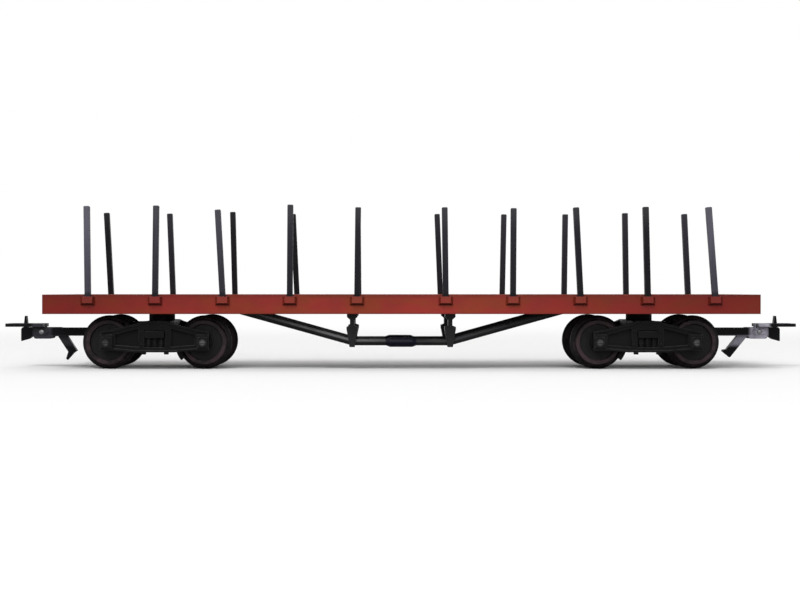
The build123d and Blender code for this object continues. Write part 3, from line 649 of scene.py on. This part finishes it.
def dropMaster(master):
    bpy.data.objects.remove(master, do_unlink=True)


# nail heads in pairs along the planks, over the sills, the stringers and the centre sill

nails = {
    "sides": 8, "radius": 0.14 * mm, "height": 0.10 * mm, "inset": 0.063 * mm, "dome": 0.025 * mm,
    "plankRecess": 0.1 * mm, "planks": 63, "pairSpacing": 1.4 * mm, "rows": 6, "rowPitch": 5.04 * mm,
}


def plankNails(look):
    first = (
        -(look["planks"] - 1) / 2 * plankPitch - look["pairSpacing"] / 2,
        -(look["rows"] - 1) / 2 * look["rowPitch"],
        deckTop - look["plankRecess"],
    )
    clearSelection()
    bpy.ops.mesh.primitive_cylinder_add(
        vertices=look["sides"], radius=look["radius"], depth=look["height"], location=first
    )
    piece = bpy.context.object
    piece.name = "plankNails"
    pickFaces(piece, lambda centre, normal: normal.z > squareOn)
    bpy.ops.mesh.inset(thickness=look["inset"])
    bpy.ops.transform.translate(value=(0.0, 0.0, look["dome"]))
    objectMode()
    steps = (
        (2, (look["pairSpacing"], 0.0, 0.0)),
        (look["planks"], (plankPitch, 0.0, 0.0)),
        (look["rows"], (0.0, look["rowPitch"], 0.0)),
    )
    for count, step in steps:
        array = piece.modifiers.new("nailRow", "ARRAY")
        array.count = count
        array.use_relative_offset = False
        array.use_constant_offset = True
        array.constant_offset_displace = step
    applyAll(piece)
    dress(piece, "wagon_body", "red_plastic")


plankNails(nails)
print("plank nails done")


# coil springs in the side frames' middle windows

springs = {
    "wireSides": 8, "wireRadius": 0.15 * mm, "coilRadius": 0.50 * mm, "coilSteps": 16, "turns": 5,
    "low": 5.12 * mm, "high": 7.33 * mm, "pitch": 1.45 * mm, "inset": 1.85 * mm,
}


def coilSpring(look):
    clearSelection()
    bpy.ops.mesh.primitive_circle_add(vertices=look["wireSides"], radius=look["wireRadius"])
    spring = bpy.context.object
    editAll()
    bpy.ops.transform.rotate(value=quarterTurn, orient_axis="X", center_override=(0.0, 0.0, 0.0))
    bpy.ops.transform.translate(value=(look["coilRadius"], 0.0, look["wireRadius"]))
    objectMode()
    screw = spring.modifiers.new("coil", "SCREW")
    screw.axis = "Z"
    screw.steps = look["coilSteps"]
    screw.render_steps = look["coilSteps"]
    screw.iterations = look["turns"]
    screw.screw_offset = (look["high"] - look["low"] - 2.0 * look["wireRadius"]) / look["turns"]
    applyAll(spring)
    # close the two wire ends
    editMode()
    bpy.ops.mesh.select_all(action="DESELECT")
    bpy.ops.mesh.select_mode(type="EDGE")
    bpy.ops.mesh.select_non_manifold()
    bpy.ops.mesh.edge_face_add()
    objectMode()
    return spring


def springSets(look):
    master = coilSpring(look)
    depth = sideFrameFace - look["inset"]
    for end in endSign:
        centre = jointPlace["bogie_swivel_" + end][0]
        copies = [
            copyTo(master, (centre + step * look["pitch"], sign * depth, look["low"]))
            for sign in sideSign.values()
            for step in (-1, 0, 1)
        ]
        dress(joinAs("bogieSprings_" + end, copies), "bogie_" + end, "black_plastic")
    dropMaster(master)


springSets(springs)
print("springs done")


# journal lids: a hinge barrel above each and a raised bar across it

lids = {
    "knuckleSides": 14, "knuckle": 0.13 * mm, "knuckleLength": 0.5 * mm,
    "earSwell": 1.35, "earLength": 0.35 * mm, "earRound": 0.039 * mm,
    "hingeRise": 1.38 * mm, "hingeInset": 0.12 * mm,
    "barLength": 1.3 * mm, "barHeight": 0.34 * mm, "barDepth": 0.30 * mm,
    "barRound": 0.09 * mm, "barSegments": 3,
}


def lidHinge(look):
    clearSelection()
    bpy.ops.mesh.primitive_cylinder_add(
        vertices=look["knuckleSides"],
        radius=look["knuckle"],
        depth=look["knuckleLength"],
        rotation=(0.0, quarterTurn, 0.0),
    )
    hinge = bpy.context.object
    applyAll(hinge)
    # an ear swells out of each end of the barrel
    for sign in endSign.values():
        pickFaces(hinge, lambda centre, normal: normal.x * sign > squareOn and centre.x * sign > 0.0)
        extrudeBy((0.0, 0.0, 0.0))
        bpy.ops.transform.resize(value=(1.0, look["earSwell"], look["earSwell"]))
        extrudeBy((sign * look["earLength"], 0.0, 0.0))
        roundRim(look["earRound"])
    objectMode()
    return hinge


def lidBar(look):
    clearSelection()
    bpy.ops.mesh.primitive_cube_add(size=1.0)
    bar = bpy.context.object
    bar.dimensions = (look["barLength"], look["barDepth"], look["barHeight"])
    applyAll(bar)
    editAll()
    bpy.ops.mesh.bevel(offset=look["barRound"], segments=look["barSegments"], affect="EDGES")
    objectMode()
    return bar


def lidFittings(look):
    hinge, bar = lidHinge(look), lidBar(look)
    hingeFace = sideFrameFace - look["hingeInset"]
    for end in endSign:
        copies = []
        for place in ("inner", "outer"):
            x, _, z = jointPlace["wheelset_roll_" + end + "_" + place]
            for sign in sideSign.values():
                copies.append(copyTo(hinge, (x, sign * hingeFace, z + look["hingeRise"])))
                copies.append(copyTo(bar, (x, sign * sideFrameFace, z)))
        dress(joinAs("lidFittings_" + end, copies), "bogie_" + end, "black_plastic")
    dropMaster(hinge)
    dropMaster(bar)


lidFittings(lids)
print("lid fittings done")


# bolt heads on the side frames: two on each column, two on the crown

bolts = {
    "sides": 6, "radius": 0.30 * mm, "height": 0.22 * mm, "chamfer": 0.07 * mm, "inset": 1.1 * mm,
    "columnReach": 3.05 * mm, "columnHeights": (5.75 * mm, 8.75 * mm),
    "crownReach": 1.7 * mm, "crownHeight": 9.95 * mm,
}


def boltHead(look):
    clearSelection()
    bpy.ops.mesh.primitive_cylinder_add(
        vertices=look["sides"],
        radius=look["radius"],
        depth=look["height"],
        rotation=(quarterTurn, 0.0, 0.0),
    )
    bolt = bpy.context.object
    applyAll(bolt)
    for sign in sideSign.values():
        pickFaces(bolt, lambda centre, normal: normal.y * sign > squareOn)
        roundRim(look["chamfer"])
    objectMode()
    return bolt


def frameBolts(look):
    master = boltHead(look)
    depth = sideFrameFace - look["inset"]
    places = [(look["columnReach"], height) for height in look["columnHeights"]]
    places.append((look["crownReach"], look["crownHeight"]))
    for end in endSign:
        centre = jointPlace["bogie_swivel_" + end][0]
        copies = [
            copyTo(master, (centre + half * reach, sign * depth, height))
            for sign in sideSign.values()
            for half in endSign.values()
            for reach, height in places
        ]
        dress(joinAs("frameBolts_" + end, copies), "bogie_" + end, "black_plastic")
    dropMaster(master)


frameBolts(bolts)
print("frame bolts done")


# pivot screws: a pan head with a cross recess below, and a plain shaft with a chamfered tip

pivotScrews = {
    "sides": 48, "headRadius": 2.2 * mm, "headHeight": 0.9 * mm, "headRound": 0.28 * mm, "headSegments": 4,
    "shaftRadius": 1.2 * mm, "tip": 0.2 * mm,
    "slotLength": 2.4 * mm, "slotWidth": 0.5 * mm, "slotDepth": 0.5 * mm,
}


def screwBlank(x, low, high, look):
    clearSelection()
    bpy.ops.mesh.primitive_cylinder_add(
        vertices=look["sides"],
        radius=look["headRadius"],
        depth=look["headHeight"],
        location=(x, 0.0, low + look["headHeight"] / 2),
    )
    screw = bpy.context.object
    applyAll(screw)
    pickFaces(screw, lambda centre, normal: normal.z < -squareOn)
    roundRim(look["headRound"], look["headSegments"])
    pickFaces(screw, lambda centre, normal: normal.z > squareOn)
    bpy.ops.mesh.inset(thickness=look["headRadius"] - look["shaftRadius"])
    extrudeBy((0.0, 0.0, high - low - look["headHeight"]))
    roundRim(look["tip"], 1)
    objectMode()
    return screw


def cutCross(screw, x, low, look):
    for turn in (0.0, quarterTurn):
        clearSelection()
        bpy.ops.mesh.primitive_cube_add(size=1.0, location=(x, 0.0, low), rotation=(0.0, 0.0, turn))
        cutter = bpy.context.object
        cutter.scale = (look["slotLength"], look["slotWidth"], 2.0 * look["slotDepth"])
        applyAll(cutter)
        cut = screw.modifiers.new("crossRecess", "BOOLEAN")
        cut.operation = "DIFFERENCE"
        cut.solver = "EXACT"
        cut.object = cutter
        applyAll(screw)
        dropMaster(cutter)


def pivotScrew(end, look):
    x = jointPlace["bogie_swivel_" + end][0]
    low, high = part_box("bogie_pivot_" + end)
    screw = screwBlank(x, low[2], high[2], look)
    screw.name = "pivotScrew_" + end
    cutCross(screw, x, low[2], look)
    dress(screw, "wagon_body", "steel")
    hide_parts("bogie_pivot_" + end)


for end in endSign:
    pivotScrew(end, pivotScrews)
print("pivot screws done")


# rivet domes on the hook pins and under the coupler pins

rivets = {
    "segments": 24, "rings": 12,
    "hookRadius": 0.62 * mm, "hookDome": 0.17 * mm, "pinRadius": 1.55 * mm, "pinDome": 0.18 * mm,
}


def rivetDome(radius, dome, look):
    clearSelection()
    bpy.ops.mesh.primitive_uv_sphere_add(
        segments=look["segments"], ring_count=look["rings"], radius=radius
    )
    rivet = bpy.context.object
    editAll()
    bpy.ops.mesh.bisect(
        plane_co=(0.0, 0.0, 0.0), plane_no=(0.0, 0.0, 1.0), clear_inner=True, use_fill=True
    )
    bpy.ops.mesh.select_all(action="SELECT")
    bpy.ops.transform.resize(value=(1.0, 1.0, dome / radius), center_override=(0.0, 0.0, 0.0))
    objectMode()
    return rivet


def couplerRivets(look):
    hookDome = rivetDome(look["hookRadius"], look["hookDome"], look)
    pinDome = rivetDome(look["pinRadius"], look["pinDome"], look)
    for end in endSign:
        x, _, z = jointPlace["hook_dip_" + end]
        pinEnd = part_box("hook_pin_" + end)[1][1]
        copies = [
            copyTo(hookDome, (x, sign * pinEnd, z), (-quarterTurn * sign, 0.0, 0.0))
            for sign in sideSign.values()
        ]
        dress(joinAs("hookRivets_" + end, copies), "coupling_" + end, "steel")
        x = jointPlace["coupler_swing_" + end][0]
        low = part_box("coupler_pin_" + end)[0]
        copy = copyTo(pinDome, (x, 0.0, low[2]), (2.0 * quarterTurn, 0.0, 0.0))
        dress(joinAs("pinRivet_" + end, [copy]), "bogie_" + end, "steel")
    dropMaster(hookDome)
    dropMaster(pinDome)


couplerRivets(rivets)
print("rivets done")


# studio, in metres: a pale floor that runs out into white, a white sky and soft lamps

studio = {
    "floorSize": 12.0, "floorColour": (0.82, 0.82, 0.82), "bounceColour": (0.30, 0.29, 0.27),
    "floorRoughness": 0.6, "clearStretch": (0.62, 1.0, 1.0), "clearSpan": (0.16, 0.42),
    "skyLight": 0.32, "skyColour": (1.0, 1.0, 1.0),
}


# 1 for the rays that show the background: from the camera, mirrored, or through something clear
def showsBackground(tree, path):
    shown = maths(tree, "ADD", path.outputs["Is Camera Ray"], path.outputs["Is Glossy Ray"], clamp=True)
    return maths(tree, "ADD", shown, path.outputs["Is Transmission Ray"], clamp=True)


def paleFloor(look):
    clearSelection()
    bpy.ops.mesh.primitive_plane_add(size=look["floorSize"], location=(0, 0, 0))
    floor = bpy.context.object
    floor.name = "paleFloor"
    material = bpy.data.materials.new("paleFloor")
    tree = emptyTree(material)
    path = addNode(tree, "ShaderNodeLightPath")
    coords = addNode(tree, "ShaderNodeTexCoord").outputs["Object"]
    ellipse = stretch(tree, coords, look["clearStretch"])
    away = addNode(tree, "ShaderNodeVectorMath", {0: ellipse}, operation="LENGTH").outputs["Value"]
    clear = times(tree, remap(tree, away, *look["clearSpan"]), showsBackground(tree, path))
    tone = mixColour(tree, path.outputs["Is Diffuse Ray"], look["floorColour"], look["bounceColour"])
    matt = addNode(tree, "ShaderNodeBsdfDiffuse", {"Color": tone, "Roughness": look["floorRoughness"]})
    white = addNode(tree, "ShaderNodeEmission", {"Color": withAlpha(look["skyColour"]), "Strength": 1.0})
    mixed = addNode(tree, "ShaderNodeMixShader", {0: clear, 1: matt.outputs[0], 2: white.outputs[0]})
    addNode(tree, "ShaderNodeOutputMaterial", {0: mixed.outputs[0]})
    floor.data.materials.append(material)


def whiteSky(look):
    world = bpy.data.worlds.new("whiteSky")
    bpy.context.scene.world = world
    tree = emptyTree(world)
    shown = showsBackground(tree, addNode(tree, "ShaderNodeLightPath"))
    strength = remap(tree, shown, 0.0, 1.0, look["skyLight"], 1.0)
    sky = {"Color": withAlpha(look["skyColour"]), "Strength": strength}
    background = addNode(tree, "ShaderNodeBackground", sky)
    addNode(tree, "ShaderNodeOutputWorld", {0: background.outputs[0]})


lamps = {
    "keyLamp": {"place": (-0.42, -0.95, 1.10), "size": 0.8, "power": 12.0},
    "fillLamp": {"place": (0.12, -1.22, 0.48), "size": 0.9, "power": 4.5},
    "topLamp": {"place": (0.1, 0.35, 1.2), "size": 1.0, "power": 4.5},
    "backLamp": {"place": (0.35, 1.15, 0.62), "size": 0.9, "power": 5.0},
}


def softLamp(name, look):
    data = bpy.data.lights.new(name, "AREA")
    data.size = look["size"]
    data.energy = look["power"]
    lamp = bpy.data.objects.new(name, data)
    bpy.context.scene.collection.objects.link(lamp)
    lamp.location = look["place"]
    toWagon = -lamp.location
    lamp.rotation_euler = toWagon.to_track_quat("-Z", "Y").to_euler()


# level with the deck and square to the wagon's side, as in the photo

view = {
    "place": (-5.34 * mm, -354.9 * mm, 18.34 * mm), "lens": 67.1, "sensor": 36.0,
    "shiftX": 0.0275, "shiftY": -0.0125, "nearest": 10.0 * mm,
}


def photoCamera(look):
    data = bpy.data.cameras.new("photoCamera")
    data.lens = look["lens"]
    data.sensor_width = look["sensor"]
    data.shift_x = look["shiftX"]
    data.shift_y = look["shiftY"]
    data.clip_start = look["nearest"]
    camera = bpy.data.objects.new("photoCamera", data)
    bpy.context.scene.collection.objects.link(camera)
    camera.location = look["place"]
    camera.rotation_euler = (quarterTurn, 0.0, 0.0)
    bpy.context.scene.camera = camera


paleFloor(studio)
whiteSky(studio)
for name, look in lamps.items():
    softLamp(name, look)
photoCamera(view)
bpy.context.scene.view_settings.view_transform = "Standard"
print("studio ready")
